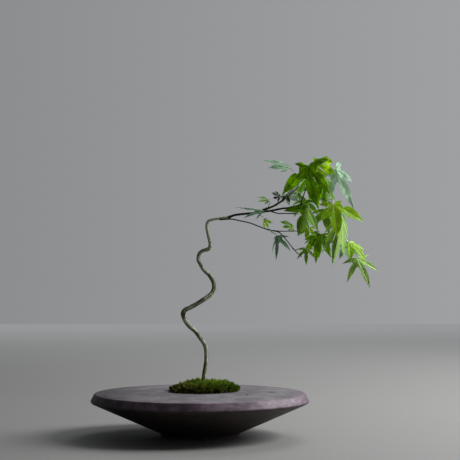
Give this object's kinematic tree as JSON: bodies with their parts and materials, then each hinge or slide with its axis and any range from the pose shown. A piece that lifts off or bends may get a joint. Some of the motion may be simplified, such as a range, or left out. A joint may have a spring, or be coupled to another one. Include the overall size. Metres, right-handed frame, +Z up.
{
  "type": "potted maple bonsai",
  "caption": "Young maple bonsai with a bent bare trunk, outreaching branches and lobed leaves, growing from a moss mound in a wide low saucer pot.",
  "frame": {"origin": "middle of the flat underside of the pot's foot", "axes": "+Z up, +X towards the side that the branches reach out to, -Y towards the front"},
  "size_m": [0.3165, 0.2388, 0.3042],
  "materials": {
    "stoneware": "unglazed purple-brown stoneware, matte",
    "mesh_plastic": "matte",
    "grit": "loose grit, matte",
    "soil": "damp potting soil, matte",
    "moss": "living cushion moss, matte",
    "bark": "young bark, smooth above and scarred below, matte",
    "leaf": "thin fresh leaf, satin"
  },
  "bodies": {
    "root": {"crown_twig": "bark", "drain_mesh_1": "mesh_plastic", "drain_mesh_2": "mesh_plastic", "drain_mesh_3": "mesh_plastic", "gravel": "grit", "hanging_twig": "bark", "leaf_01": "leaf", "leaf_02": "leaf", "leaf_03": "leaf", "leaf_04": "leaf", "leaf_05": "leaf", "leaf_06": "leaf", "leaf_07": "leaf", "leaf_08": "leaf", "leaf_09": "leaf", "leaf_10": "leaf", "leaf_11": "leaf", "leaf_12": "leaf", "leaf_13": "leaf", "leaf_14": "leaf", "leaf_15": "leaf", "leaf_16": "leaf", "leaf_17": "leaf", "leaf_18": "leaf", "leaf_19": "leaf", "leaf_20": "leaf", "leaf_21": "leaf", "leaf_22": "leaf", "leaf_23": "leaf", "leaf_24": "leaf", "leaf_25": "leaf", "leaf_26": "leaf", "leaf_27": "leaf", "leaf_28": "leaf", "leaf_29": "leaf", "leaf_30": "leaf", "lower_branch": "bark", "moss": "moss", "outer_twig": "bark", "pot": "stoneware", "rising_branch": "bark", "root_1": "bark", "root_2": "bark", "root_3": "bark", "root_4": "bark", "side_twig": "bark", "soil": "soil", "thin_twig": "bark", "trunk": "bark", "upper_branch": "bark"}
  },
  "joints": []
}
